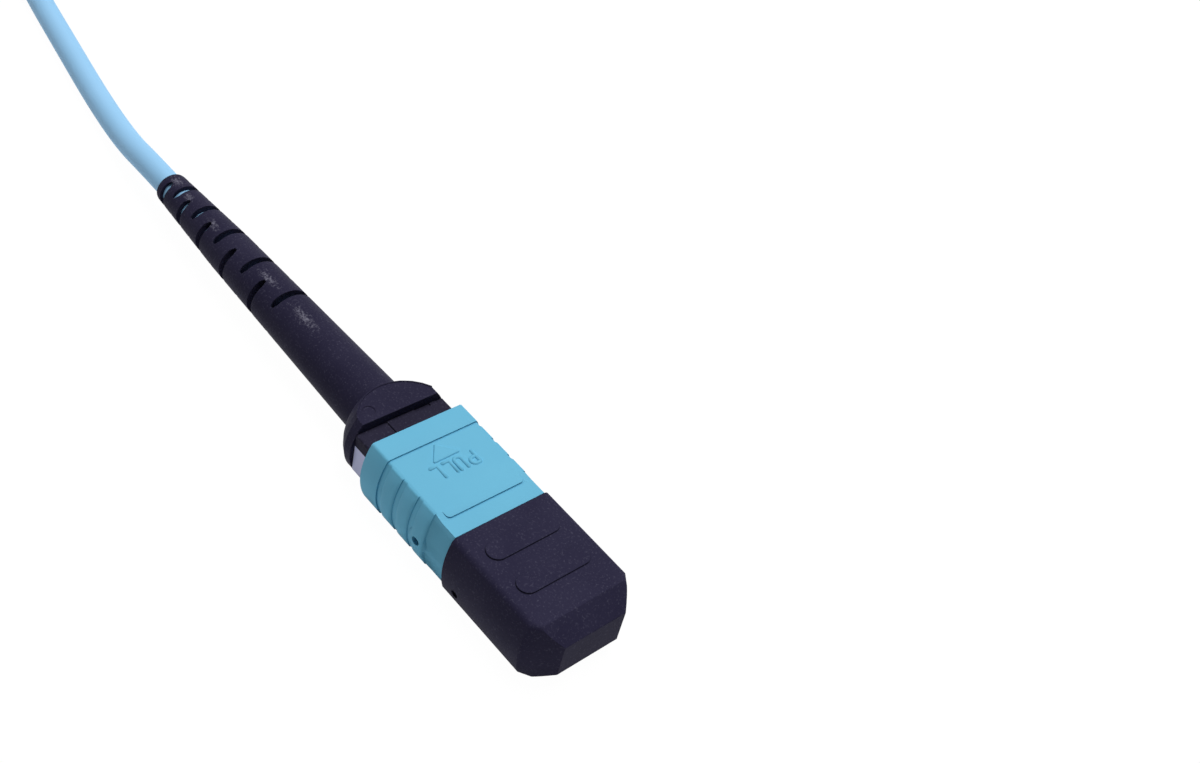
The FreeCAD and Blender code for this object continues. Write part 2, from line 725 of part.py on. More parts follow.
def dust_cap():
    solid = cap_outside()
    for index in range(2):
        x = x_cap + bar_first + index * bar_pitch
        for raised in above_and_below(slot_prism(x, bar_width, bar_half_length,
                                                 cap_half_height - 0.3,
                                                 cap_half_height + bar_height)):
            solid = solid.fuse(raised)
    solid = solid.cut(bar(x_cap - 1, x_nose + 0.4, nose_half_width + cap_fit,
                          housing_half_height + cap_fit))
    key_room = block(x_cap - 1, x_nose - key_back + 0.4, -key_half_width - cap_fit,
                     key_half_width + cap_fit, 0, housing_half_height + key_height + cap_fit)
    solid = solid.cut(key_room)
    solid = solid.cut(bar(x_nose, x_cap_front - cap_front_wall, ferrule_half_width + 0.2,
                          ferrule_half_height + 0.35))
    eye = Part.makeCylinder(cap_eye_radius, 4, vec(x_cap + cap_eye_from_rear, -cap_half_width - 2,
                                                   -cap_eye_drop), vec(0, 1, 0))
    return solid.cut(eye)


# ---------------------------------------------------------------- cable

def cable_points():
    return [vec(x_tip + x, y, z) for x, y, z in cable_route]


def cable():
    """Straight runs joined by tangent arcs, each as large as its two runs allow."""
    points = cable_points()
    edges = []
    last = points[0]
    for before, corner, after in zip(points, points[1:], points[2:]):
        into = corner - before
        out = after - corner
        turn = into.getAngle(out)
        shorter = min(into.Length, out.Length)
        radius = 0.45 * shorter / math.tan(turn / 2)
        cut_back = 0.45 * shorter
        start = corner - FreeCAD.Vector(into).normalize() * cut_back
        end = corner + FreeCAD.Vector(out).normalize() * cut_back
        inward = ((start + end) * 0.5 - corner).normalize()
        to_middle = radius / math.cos(turn / 2) - radius
        middle = corner + inward * to_middle
        edges += [Part.LineSegment(last, start).toShape(), Part.Arc(start, middle, end).toShape()]
        print("cable bend radius %.1f" % radius)
        last = end
    edges.append(Part.LineSegment(last, points[-1]).toShape())
    spine = Part.Wire(edges)
    section = Part.Wire([Part.makeCircle(cable_radius, points[0], points[1] - points[0])])
    solid = Part.Solid(spine.makePipeShell([section], True, False).Shells[0])
    expected = math.pi * cable_radius ** 2 * spine.Length
    print("cable length %.1f, volume %.1f of %.1f" % (spine.Length, solid.Volume, expected))
    return solid.cut(plain_coil())


# ---------------------------------------------------------------- coil and bare end

def run_in():
    """Where the cable meets the coil, and its level heading there."""
    before, end = cable_points()[-2:]
    heading = vec(end.x - before.x, end.y - before.y, 0).normalize()
    return end, heading


def coil_middle():
    end, heading = run_in()
    to_middle = vec(-heading.y, heading.x, 0) * -1
    outer_turn = coil_radius + (coil_columns - 1) / 2 * coil_pitch
    return vec(end.x, end.y, -axis_height) + to_middle * outer_turn


def coil_end():
    """Where the last turn stops on the top of the coil, and its heading."""
    end, heading = run_in()
    middle = coil_middle()
    spoke = vec(end.x - middle.x, end.y - middle.y, 0)
    turn = FreeCAD.Rotation(vec(0, 0, 1), -360 * coil_turns)
    height = tie_thickness + (coil_layers - 0.5) * coil_pitch
    return middle + turn.multVec(spoke) + vec(0, 0, height), turn.multVec(heading)


def ring(middle, inner, outer, base, top):
    low = middle + vec(0, 0, base)
    solid = Part.makeCylinder(outer, top - base, low)
    return solid.cut(Part.makeCylinder(inner, top - base, low))


def coil_half_width():
    return coil_columns * coil_pitch / 2


def plain_coil():
    top = tie_thickness + coil_layers * coil_pitch
    return ring(coil_middle(), coil_radius - coil_half_width(), coil_radius + coil_half_width(),
                tie_thickness, top)


def along(solid, place, heading):
    """Turns a solid modelled along +X from the origin to a place and a heading."""
    turned = solid.copy()
    turned.Placement = FreeCAD.Placement(place, FreeCAD.Rotation(vec(1, 0, 0), heading))
    return turned


def cable_coil():
    place, heading = coil_end()
    bed = block(0, 2 * coil_radius, -coil_pitch / 2, coil_pitch, -coil_pitch / 2, coil_pitch)
    return plain_coil().cut(along(bed, place, heading))


def coil_ties():
    """Two flat ties round the coil, opposite each other; the coil lies on them."""
    middle = coil_middle()
    top = tie_thickness + coil_layers * coil_pitch
    ties = []
    for side in (-1, 1):
        strip = block(middle.x - tie_width / 2, middle.x + tie_width / 2, middle.y, middle.y
                      + 2 * coil_radius, -axis_height, -axis_height + top + tie_thickness)
        if side > 0:
            turned = strip
        else:
            turned = strip.mirror(middle, vec(0, 1, 0))
        turned.rotate(middle, vec(0, 0, 1), tie_turn)
        band = ring(middle, coil_radius - coil_half_width() - tie_thickness,
                    coil_radius + coil_half_width() + tie_thickness, 0, top + tie_thickness)
        ties.append(band.common(turned).cut(plain_coil()))
    return Part.makeCompound([tie.Solids[0] for tie in ties])


def bare_end_yarn():
    place, heading = coil_end()
    tuft = Part.makeCone(cable_radius - jacket_wall, bare_yarn_spread, bare_yarn_length,
                         vec(0, 0, 0), vec(1, 0, 0))
    return along(tuft.cut(rod(-1, bare_yarn_length + 1, fibre_tube_radius)), place, heading)


def bare_end_fibres():
    """Loose coated fibres: a quarter of them inside, the rest round them."""
    place, heading = coil_end()
    inside = fibre_count // 4
    fibres = []
    for index in range(fibre_count):
        if index < inside:
            angle = 2 * math.pi * index / inside
            reach = fibre_tube_radius * 0.3
        else:
            angle = 2 * math.pi * (index - inside) / (fibre_count - inside)
            reach = fibre_tube_radius - coated_fibre_radius - free_fit / 2
        fibres.append(fibre(0, bare_fibre_length, coated_fibre_radius, reach * math.cos(angle),
                            reach * math.sin(angle)))
    return along(Part.makeCompound(fibres), place, heading)


# ---------------------------------------------------------------- all pieces

def build():
    os.makedirs("parts", exist_ok=True)
    save("coupling_sleeve", coupling_sleeve())
    save("inner_housing", inner_housing())
    save("fibre_one_mark", fibre_one_mark())
    save("mt_ferrule", mt_ferrule())
    save("fibre_ends", fibre_ends())
    save("guide_pin_left", guide_pin(-1))
    save("guide_pin_right", guide_pin(1))
    save("pin_clamp", pin_clamp())
    save("ferrule_boot", ferrule_boot())
    save("fibre_ribbon", fibre_ribbon())
    save("main_spring", main_spring())
    save("coupling_spring_left", coupling_spring(-1))
    save("coupling_spring_right", coupling_spring(1))
    save("crimp_body", crimp_body())
    save("aramid_yarn", aramid_yarn())
    save("crimp_ring", crimp_ring())
    save("jacket_in_boot", jacket_in_boot())
    save("strain_relief_boot", strain_relief_boot())
    save("dust_cap", dust_cap())
    save("cable", cable())
    save("cable_coil", cable_coil())
    save("coil_ties", coil_ties())
    save("bare_end_yarn", bare_end_yarn())
    save("bare_end_fibres", bare_end_fibres())


build()
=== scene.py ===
"""The multi-fibre connector's looks: finishes, cable, raised sign and springs around its frame."""

import math

import bmesh
import bpy
from mathutils import Matrix, Vector, geometry


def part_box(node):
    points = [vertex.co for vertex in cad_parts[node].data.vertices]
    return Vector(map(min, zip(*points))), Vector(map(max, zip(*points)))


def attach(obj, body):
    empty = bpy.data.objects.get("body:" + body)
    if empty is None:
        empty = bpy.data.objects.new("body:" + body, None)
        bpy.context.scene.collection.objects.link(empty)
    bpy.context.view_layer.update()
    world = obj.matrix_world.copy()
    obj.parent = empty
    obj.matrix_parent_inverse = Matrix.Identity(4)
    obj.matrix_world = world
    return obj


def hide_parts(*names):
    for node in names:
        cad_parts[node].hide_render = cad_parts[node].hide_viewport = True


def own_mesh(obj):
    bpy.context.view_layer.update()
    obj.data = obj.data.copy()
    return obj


MM = 0.001
MERGE = 0.001 * MM           # corners nearer together than this are one corner
WHITE = (1.0, 1.0, 1.0, 1.0)

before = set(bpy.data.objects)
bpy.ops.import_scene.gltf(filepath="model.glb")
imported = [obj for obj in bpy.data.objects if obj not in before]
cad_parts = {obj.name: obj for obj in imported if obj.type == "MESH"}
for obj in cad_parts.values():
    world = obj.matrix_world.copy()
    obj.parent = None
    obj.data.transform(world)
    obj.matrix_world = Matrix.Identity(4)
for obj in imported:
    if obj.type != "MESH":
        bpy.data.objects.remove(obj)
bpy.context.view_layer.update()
scene = bpy.context.scene


def hex_colour(text):
    """An sRGB colour such as "6db4c8" as linear RGBA."""
    channels = [int(text[i:i + 2], 16) / 255 for i in (0, 2, 4)]
    linear = [c / 12.92 if c <= 0.04045 else ((c + 0.055) / 1.055) ** 2.4 for c in channels]
    return (*linear, 1.0)


# ---------------------------------------------------------------- places from the frame

BOOT_LOW, BOOT_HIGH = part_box("strain_relief_boot")
SLEEVE_LOW, SLEEVE_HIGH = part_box("coupling_sleeve")
X_TIP = BOOT_LOW[0]
X_SHOULDER = BOOT_HIGH[0]
X_SLEEVE = SLEEVE_LOW[0]
AXIS_HEIGHT = (SLEEVE_LOW[2] + SLEEVE_HIGH[2]) / 2
SLEEVE_STEP = 0.15 * MM      # from the sleeve's collar down to its body and raised panel
PANEL_TOP = SLEEVE_HIGH[2] - SLEEVE_STEP


# ---------------------------------------------------------------- node building

# The Mix node's sockets for colours, which share their names with its other kinds.
MIX_SHARE, MIX_FIRST, MIX_SECOND = 0, 6, 7
MIX_RESULT = 2


def feed(tree, node, inputs):
    """Sets or links a node's sockets, given by name or number."""
    for key, value in inputs.items():
        if isinstance(value, bpy.types.NodeSocket):
            tree.links.new(value, node.inputs[key])
        else:
            node.inputs[key].default_value = value


def add_node(tree, kind, inputs, **settings):
    """Adds a node with its settings, values and links."""
    node = tree.nodes.new("ShaderNode" + kind)
    for name, value in settings.items():
        setattr(node, name, value)
    feed(tree, node, inputs)
    return node


class Finish:
    """One material while its nodes are laid out; each step returns the socket that it makes."""

    def __init__(self, name, surface):
        self.material = bpy.data.materials.new(name)
        self.material.use_nodes = True
        self.tree = self.material.node_tree
        self.shader = self.tree.nodes["Principled BSDF"]
        self.place = self.add("TexCoord", {}).outputs["Object"]
        self.surface(surface)

    def surface(self, inputs):
        """Sets or links the surface's own sockets."""
        feed(self.tree, self.shader, inputs)

    def add(self, kind, inputs, **settings):
        """Adds a node to this material."""
        return add_node(self.tree, kind, inputs, **settings)

    def noise(self, size, detail=2.0, roughness=0.5, place=None):
        """Noise with cells about that size."""
        return self.add("TexNoise", {"Vector": self.place if place is None else place,
                                     "Scale": 1 / size, "Detail": detail,
                                     "Roughness": roughness}).outputs["Fac"]

    def share(self, value, low, high, start=0.0, end=1.0):
        """Goes from start to end while the value goes from low to high."""
        return self.add("MapRange", {"Value": value, "From Min": low, "From Max": high,
                                     "To Min": start, "To Max": end}).outputs["Result"]

    def tone(self, share, first, second):
        """Goes from the first colour, sRGB hex or a socket, to the second."""
        first, second = (hex_colour(colour) if isinstance(colour, str) else colour
                         for colour in (first, second))
        return self.add("Mix", {MIX_SHARE: share, MIX_FIRST: first, MIX_SECOND: second},
                        data_type="RGBA").outputs[MIX_RESULT]

    def rounded(self, radius):
        """Normals that round every edge in the eye."""
        return self.add("Bevel", {"Radius": radius}, samples=6).outputs["Normal"]

    def relief(self, height, depth, strength, normal=None):
        """Normals of a surface that the height, from 0 to 1, lifts by that depth."""
        inputs = {"Height": height, "Distance": depth, "Strength": strength}
        if normal is not None:
            inputs["Normal"] = normal
        return self.add("Bump", inputs).outputs["Normal"]


# ---------------------------------------------------------------- materials

EDGE_ROUNDING = 0.12 * MM    # the small radius that a mould leaves on every edge
PAINTED_GLINT_TONE = "7a788c"      # painted highlight: where a pit's rim would catch the light
BLACK_GLINT = (0.74, 0.68, 1.0, 1.0)    # the violet tinge of its gloss


def moulded_black(name, tones, shine, roughness, glint_share):
    """Black engineering plastic from a spark-eroded mould: its finish and its colour's socket.

    The mould's fine pits break up the gloss, so it looks violet-grey in the light, with a fine
    speckle of painted glints where the pits' rims would catch the light, and dark where it turns
    to the room. The real grain is 0.03 mm; it is drawn at 0.22 mm, the finest that shows.
    """
    finish = Finish(name, {"Roughness": roughness, "IOR": 1.53, "Specular IOR Level": shine,
                           "Specular Tint": BLACK_GLINT})
    clouds = finish.noise(4.0 * MM, detail=4.0)
    grain = finish.noise(0.22 * MM, detail=2.5, roughness=0.6)
    flow = finish.noise(0.7 * MM, detail=3.0)
    base = finish.tone(finish.share(clouds, 0.35, 0.68), *tones)
    # Painted highlight: the grain lightens fine specks towards a pale tone, standing in for glints
    # off the pits' rims.
    glinted_colour = finish.tone(finish.share(grain, 0.56, 0.76, end=glint_share), base, PAINTED_GLINT_TONE)
    wavy = finish.relief(flow, 0.03 * MM, 0.12, finish.rounded(EDGE_ROUNDING))
    finish.surface({"Base Color": glinted_colour, "Normal": finish.relief(grain, 0.02 * MM, 0.4, wavy)})
    return finish, glinted_colour


# Rubbed places on the boot's top, in millimetres: along from its tip, across from its axis,
# half length and half width.
SCUFFS = (
    (1.5, -0.1, 2.4, 1.4),
    (4.5, -0.5, 2.0, 1.1),
    (10.3, -0.7, 2.4, 1.0),
    (21.0, -0.5, 3.6, 1.1),
    (28.0, -0.7, 5.2, 1.4),
)
SCUFF_HEIGHT = 1.9           # of their middles over the axis at the boot's tip, in millimetres,
SCUFF_RISE = 0.034           # and what it grows by for each millimetre along the boot
SCUFF_DEPTH = 1.2            # how far down the boot's sides rubbing reaches, in millimetres
CRUMBS_KEPT = 0.7            # crumbs of the surface higher than this are chalky anywhere,
CRUMBS_RUBBED = 0.42         # and higher than this where the rubbing is strongest
CHALK_TONE = "9d9bac"


def boot_elastomer():
    """Black thermoplastic elastomer: soft, so handling has rubbed pale specks into its top."""
    finish, base = moulded_black("boot_elastomer", ("242236", "29273b"), 0.04, 0.56, 0.2)
    crumbs = finish.noise(0.3 * MM, detail=6.0, roughness=0.8)
    rubbed = None
    for along, across, half_length, half_width in SCUFFS:
        up = SCUFF_HEIGHT + SCUFF_RISE * along
        centre = Vector((X_TIP / MM + along, across, AXIS_HEIGHT / MM + up)) * MM
        reach = Vector((half_length, half_width, SCUFF_DEPTH)) * MM
        spot = finish.add("Mapping", {"Vector": finish.place, "Location": centre,
                                      "Scale": reach}, vector_type="TEXTURE")
        share = finish.add("TexGradient", {"Vector": spot.outputs["Vector"]},
                           gradient_type="SPHERICAL").outputs["Fac"]
        if rubbed is not None:
            share = finish.add("Math", {0: rubbed, 1: share}, operation="MAXIMUM").outputs[0]
        rubbed = share
    limit = finish.share(rubbed, 0.0, 0.9, CRUMBS_KEPT, CRUMBS_RUBBED)
    over = finish.add("Math", {0: crumbs, 1: limit}, operation="SUBTRACT").outputs[0]
    chalk = finish.share(over, 0.0, 0.25, end=0.75)
    finish.surface({"Base Color": finish.tone(chalk, base, CHALK_TONE)})
    return finish.material


CREASE_SHADE_REACH = 0.3 * MM      # how near a wall has to be for painted shade to darken the plastic


def sleeve_plastic(name, rounding):
    """Aqua PBT, moulded satin: nearly even in colour, softly glossy, with painted shade darkening
    its creases.
    """
    finish = Finish(name, {"Roughness": 0.66, "IOR": 1.5, "Specular IOR Level": 0.24})
    base = finish.tone(finish.noise(5.5 * MM, detail=3.0), "63b1d2", "6bb9d8")
    # Painted shade: near walls, in creases and at steps, the colour goes towards a darker aqua.
    crease_shade = finish.add("AmbientOcclusion", {"Distance": CREASE_SHADE_REACH}, samples=6,
                        only_local=True).outputs["AO"]
    shaded = finish.tone(finish.share(crease_shade, 0.55, 0.9), "3d8db2", base)
    grain = finish.noise(0.2 * MM, detail=2.0, roughness=0.55)
    finish.surface({"Base Color": shaded,
                    "Normal": finish.relief(grain, 0.02 * MM, 0.16, finish.rounded(rounding))})
    return finish.material


def jacket_plastic():
    """Light blue low-smoke jacket, extruded: smooth, with a faint waviness from the die."""
    finish = Finish("low_smoke_jacket",
                    {"Roughness": 0.6, "IOR": 1.48, "Specular IOR Level": 0.35})
    skin = finish.noise(0.5 * MM, detail=3.0)
    finish.surface({"Base Color": finish.tone(finish.noise(8.0 * MM, detail=3.0),
                                              "93c7ed", "9accf2"),
                    "Normal": finish.relief(skin, 0.03 * MM, 0.12)})
    return finish.material


CLOUD_DEPTH = 0.85           # how dark an inner part's darkest clouds are, against its tone


def inner_part(name, tone, roughness, metallic=0.0):
    """A hidden part's finish: one tone that clouds a little, over a fine even grain."""
    finish = Finish(name, {"Roughness": roughness, "Metallic": metallic})
    base = hex_colour(tone)
    darker = tuple(channel * CLOUD_DEPTH for channel in base[:3]) + (1.0,)
    finish.surface({"Base Color": finish.tone(finish.noise(3.0 * MM), darker, base),
                    "Normal": finish.relief(finish.noise(0.3 * MM), 0.02 * MM, 0.12)})
    return finish.material


def aramid_fibre():
    """Aramid yarn: gold strands side by side along the cable, each drawn 0.4 mm wide."""
    finish = Finish("aramid_yarn", {"Roughness": 0.6, "Sheen Weight": 0.3})
    grid = finish.add("Mapping", {"Vector": finish.place, "Scale": (0.06, 1.0, 1.0)})
    strands = finish.noise(0.4 * MM, 3.0, 0.6, grid.outputs["Vector"])
    finish.surface({"Base Color": finish.tone(finish.share(strands, 0.3, 0.7),
                                              "a8842c", "e0c467"),
                    "Normal": finish.relief(strands, 0.08 * MM, 0.7)})
    return finish.material


def hook_and_loop():
    """Black hook-and-loop tape: a dull pile of nylon loops about 0.2 mm across."""
    finish = Finish("hook_and_loop_tape", {"Roughness": 0.9, "Sheen Weight": 0.4})
    loops = finish.noise(0.2 * MM, detail=2.0, roughness=0.7)
    finish.surface({"Base Color": finish.tone(finish.share(loops, 0.3, 0.75),
                                              "101012", "2c2c30"),
                    "Normal": finish.relief(loops, 0.12 * MM, 0.9)})
    return finish.material


def dress_frame():
    """Gives every carried-over part its material, and returns those that new pieces share."""
    cap = moulded_black("cap_nylon", ("27253a", "2c2a3f"), 0.035, 0.58, 0.2)[0].material
    housing = moulded_black("housing_pbt", ("232130", "282636"), 0.045, 0.58, 0.18)[0].material
    boot = boot_elastomer()
    aqua = sleeve_plastic("aqua_pbt", 0.06 * MM)
    jacket = jacket_plastic()
    yarn = aramid_fibre()
    # Bright drawn wire, ground pins that mirror, and the ribbon's glossy aqua coat.
    wire = inner_part("stainless_spring_wire", "a9abad", 0.3, 1.0)
    pin = inner_part("ground_steel_pin", "c9cacc", 0.16, 1.0)
    ribbon = inner_part("acrylate_ribbon", "6fb7c4", 0.3)
    finishes = {
        "dust_cap": cap,
        "inner_housing": housing,
        "coupling_sleeve": aqua,
        "strain_relief_boot": boot,
        "ferrule_boot": boot,
        "jacket_in_boot": jacket,
        # A dull pale print, and a black resin ground smooth round clear glass ends.
        "fibre_one_mark": inner_part("pale_print", "c9ccf2", 0.55),
        "mt_ferrule": inner_part("filled_resin", "1b1c1e", 0.4),
        "fibre_ends": inner_part("polished_glass", "cfe3e6", 0.1),
        "guide_pin_left": pin,
        "guide_pin_right": pin,
        "pin_clamp": inner_part("clamp_pbt", "1d1e21", 0.5),
        "fibre_ribbon": ribbon,
        "main_spring": wire,
        "coupling_spring_left": wire,
        "coupling_spring_right": wire,
        # Dull black plastic with a satin aluminium ring pressed on it.
        "crimp_body": inner_part("crimp_body_pbt", "17181a", 0.5),
        "aramid_yarn": yarn,
        "crimp_ring": inner_part("crimped_aluminium", "b9bcc0", 0.32, 1.0),
        "cable": jacket,
        "cable_coil": jacket,
        "coil_ties": hook_and_loop(),
        "bare_end_yarn": yarn,
        "bare_end_fibres": ribbon,
    }
    for name, material in finishes.items():
        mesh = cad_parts[name].data
        mesh.materials.clear()
        mesh.materials.append(material)
    # The sign's own copy of the sleeve's plastic rounds less, so that its strokes stay crisp.
    sign = sleeve_plastic("aqua_pbt_sign", 0.02 * MM)
    return {"aqua": aqua, "sign": sign, "jacket": jacket, "boot": boot, "wire": wire}


# ---------------------------------------------------------------- cable

CABLE_DIAMETER = 3.0 * MM

# The route from the boot's tip to the coil, in millimetres: along, across, up from the axis.
CABLE_ROUTE = (
    (0.0, 0.0, 0.0),
    (-4.5, 0.0, 0.0),
    (-11.5, 0.9, -1.67),
    (-21.0, 2.3, -2.3),
    (-33.0, 4.3, -2.3),
    (-45.0, 6.3, -2.3),
    (-57.0, 8.75, -2.3),
    (-69.0, 11.2, -1.975),
)
COIL_RADIUS = 16.5 * MM
COIL_PITCH = 3.05 * MM
COIL_BASE = 0.3 * MM
COIL_TURNS = 8.8
COIL_STEPS = 20              # to a turn, so that the last step ends at the bare end
LEVEL_SHARE = 0.75           # of a turn, before it climbs over to the next seat
# Column, counted from the middle of the winding, and layer of each turn, in winding order.
COIL_SEATS = ((1, 0), (0, 0), (-1, 0), (-1, 1), (-1, 2), (0, 2), (0, 1), (1, 1), (1, 2))


def coil_seat(turns):
    """Radius and height of the winding after that many turns: level, then over to the next."""
    index = min(int(turns), len(COIL_SEATS) - 1)
    share = min(max((turns - index - LEVEL_SHARE) / (1 - LEVEL_SHARE), 0.0), 1.0)
    ease = share * share * (3 - 2 * share)
    column, layer = COIL_SEATS[index]
    next_column, next_layer = COIL_SEATS[min(index + 1, len(COIL_SEATS) - 1)]
    column += (next_column - column) * ease
    layer += (next_layer - layer) * ease
    return COIL_RADIUS + column * COIL_PITCH, COIL_BASE + (layer + 0.5) * COIL_PITCH


def cable_points():
    """The cable's control points: its route, and then the coil that takes up its length."""
    start = Vector((X_TIP, 0, AXIS_HEIGHT))
    points = [start + Vector(step) * MM for step in CABLE_ROUTE]
    end = points[-1]
    heading = Vector((end.x - points[-2].x, end.y - points[-2].y, 0)).normalized()
    radius, _ = coil_seat(0.0)
    centre = Vector((end.x, end.y, 0)) + Vector((heading.y, -heading.x, 0)) * radius
    start_angle = math.atan2(end.y - centre.y, end.x - centre.x)
    last = round(COIL_TURNS * COIL_STEPS)
    for step in range(1, last + 1):
        turns = step / COIL_STEPS
        # A control polygon lies a little outside its curve, except at the curve's end.
        outside = 1 / math.cos(math.pi / COIL_STEPS) if step < last else 1
        radius, height = coil_seat(turns)
        angle = start_angle - 2 * math.pi * turns
        points.append(centre + Vector((math.cos(angle), math.sin(angle), 0)) * radius * outside
                      + Vector((0, 0, height)))
    return points


def make_cable(jacket):
    """The fibre cable from the boot's tip to its bare end in the coil."""
    curve = bpy.data.curves.new("fibre_cable", "CURVE")
    curve.dimensions = "3D"
    curve.bevel_depth = CABLE_DIAMETER / 2
    curve.bevel_resolution = 6
    curve.resolution_u = 6
    curve.use_fill_caps = True
    points = cable_points()
    spline = curve.splines.new("NURBS")
    spline.points.add(len(points) - 1)
    for point, place in zip(spline.points, points):
        point.co = (*place, 1.0)
    spline.order_u = 3
    spline.use_endpoint_u = True
    cable = bpy.data.objects.new("fibre_cable", curve)
    scene.collection.objects.link(cable)
    curve.materials.append(jacket)
    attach(cable, "connector")
    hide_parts("cable", "cable_coil")


# ---------------------------------------------------------------- raised sign on the sleeve

SIGN_HEIGHT = 0.15 * MM
STROKE_RADIUS = 0.24 * MM
LETTER_HEIGHT = 1.6 * MM
LETTER_STARTS = (0.0, 0.87, 1.66, 2.54)    # of the four letters, in letter heights
LETTER_BASE = Vector((5.37, 2.42, 0)) * MM    # from the middle of the sleeve's rear edge
# The middles of the arrow head's three rounded corners, in millimetres from the same place.
ARROW = ((3.15, -0.18), (4.84, -1.5), (4.81, 1.3))
# Its edge from the foot, sunk in the panel, to the top: rounding at a corner, then height.
ARROW_PROFILE = ((0.16, -0.1), (0.16, 0.02), (0.11, 0.1), (0.03, 0.13))
ARROW_SEGMENTS = 24          # of a whole rounded corner
BEAD_END = 0.5               # how far a bead's ends reach, and how thick they are, in radii


def link_mesh(name, builder, material):
    """Turns what the builder holds into a piece of that material."""
    mesh = bpy.data.meshes.new(name)
    builder.to_mesh(mesh)
    builder.free()
    piece = bpy.data.objects.new(name, mesh)
    scene.collection.objects.link(piece)
    mesh.materials.append(material)
    return piece


def beads(name, lines, radius, material):
    """Thin round beads along lines of points, their ends narrowed and closed."""
    curve = bpy.data.curves.new(name, "CURVE")
    curve.dimensions = "3D"
    curve.bevel_depth = radius
    curve.bevel_resolution = 2
    curve.use_fill_caps = True
    for line in lines:
        points = [Vector(place) for place in line]
        reach = radius * BEAD_END
        first = points[0] + (points[0] - points[1]).normalized() * reach
        last = points[-1] + (points[-1] - points[-2]).normalized() * reach
        spline = curve.splines.new("POLY")
        spline.points.add(len(points) + 1)
        for point, place in zip(spline.points, [first, *points, last]):
            point.co = (*place, 1.0)
        spline.points[0].radius = BEAD_END
        spline.points[-1].radius = BEAD_END
    piece = bpy.data.objects.new(name, curve)
    scene.collection.objects.link(piece)
    curve.materials.append(material)
    return piece


def arc(centre, radius_x, radius_y, start, end, steps=8):
    """Points along part of an ellipse, between two angles in degrees."""
    angles = [math.radians(start + (end - start) * step / steps) for step in range(steps + 1)]
    return [(centre[0] + radius_x * math.cos(a), centre[1] + radius_y * math.sin(a))
            for a in angles]


def letter_strokes():
    """Each letter's start and strokes in letter heights: to the reader's right, then up."""
    stem = [(0, 0), (0, 1)]
    p_bowl = [(0, 1)] + arc((0.27, 0.74), 0.25, 0.26, 90, -90) + [(0, 0.48)]
    u_shape = [(0, 1)] + arc((0.26, 0.26), 0.26, 0.26, 180, 360) + [(0.52, 1)]
    l_shape = [(0, 1), (0, 0), (0.52, 0)]
    return zip(LETTER_STARTS, ((stem, p_bowl), (u_shape,), (l_shape,), (l_shape,)))


def make_word(aqua):
    """The word that says what the sleeve is for, read from the cable's end."""
    start = Vector((X_SLEEVE, 0, 0)) + LETTER_BASE
    height = PANEL_TOP + SIGN_HEIGHT - STROKE_RADIUS
    lines = [[(start.x + up * LETTER_HEIGHT, start.y - (offset + right) * LETTER_HEIGHT, height)
              for right, up in line] for offset, strokes in letter_strokes() for line in strokes]
    return beads("pull_word", lines, STROKE_RADIUS, aqua)


def make_arrow(aqua):
    """The arrow head, stretched tight over the rings of its profile at each corner."""
    builder = bmesh.new()
    for x, y in ARROW:
        for radius, up in ARROW_PROFILE:
            place = Vector((X_SLEEVE + x * MM, y * MM, PANEL_TOP + up * MM))
            bmesh.ops.create_circle(builder, segments=ARROW_SEGMENTS, radius=radius * MM,
                                    matrix=Matrix.Translation(place))
    hull = bmesh.ops.convex_hull(builder, input=builder.verts)
    inner = {item for key in ("geom_interior", "geom_unused") for item in hull[key]
             if isinstance(item, bmesh.types.BMVert)}
    bmesh.ops.delete(builder, geom=list(inner), context="VERTS")
    stray = [edge for edge in builder.edges if not edge.link_faces]
    bmesh.ops.delete(builder, geom=stray, context="EDGES")
    bmesh.ops.recalc_face_normals(builder, faces=builder.faces)
    return link_mesh("pull_arrow", builder, aqua)


def make_sign(aqua):
    """The raised sign on the sleeve's panel."""
    for piece in (make_word(aqua), make_arrow(aqua)):
        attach(piece, "sleeve")


# ---------------------------------------------------------------- the boot's witness line

WITNESS_RADIUS = 0.09 * MM
SHOULDER_LAND = 1.0 * MM     # the flat's straight stretch behind its front edge
LAND_SLACK = 0.05 * MM       # so that the stretch's own rear corners are on the line
LEVEL_SLACK = 0.002 * MM     # corners this near the flat's height are on it


def make_witness_line(boot):
    """The thin raised line that the mould leaves where the boot's taper meets its flat."""
    top = BOOT_HIGH[2]
    flat = [vertex.co.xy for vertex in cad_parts["strain_relief_boot"].data.vertices
            if abs(vertex.co.z - top) < LEVEL_SLACK]
    rim = [flat[index] for index in geometry.convex_hull_2d(flat)]
    rear = sorted((spot for spot in rim if spot.x < X_SHOULDER - SHOULDER_LAND + LAND_SLACK),
                  key=lambda spot: spot.y)
    line = [(spot.x, spot.y, top) for spot in rear]
    piece = beads("boot_witness_line", [line], WITNESS_RADIUS, boot)
    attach(piece, "connector")


# ---------------------------------------------------------------- the sleeve's edges, worn soft

SHARP = math.radians(60)     # edges that turn more than this are sharp
FACET = math.radians(20)     # edges that turn less than this are shaded smooth
FLAT = math.radians(1)       # faces that turn less than this are one face
STEP_ROUNDING = 0.1 * MM
COLLAR_FRONT = X_SLEEVE + 2.61 * MM
PANEL_FRONT = X_SLEEVE + 11.1 * MM
PANEL_CORNER = 1.0 * MM      # how far back the front edge reaches round the panel's corners
OUTER_SIDE = 5.6 * MM        # an edge farther across than this from the axis,
OUTER_TOP = 3.3 * MM         # or farther up or down, is on the sleeve's outside
NEAR = 0.02 * MM


def near(values, goal):
    """Whether every one of the lengths is close to the goal."""
    return all(abs(value - goal) < NEAR for value in values)


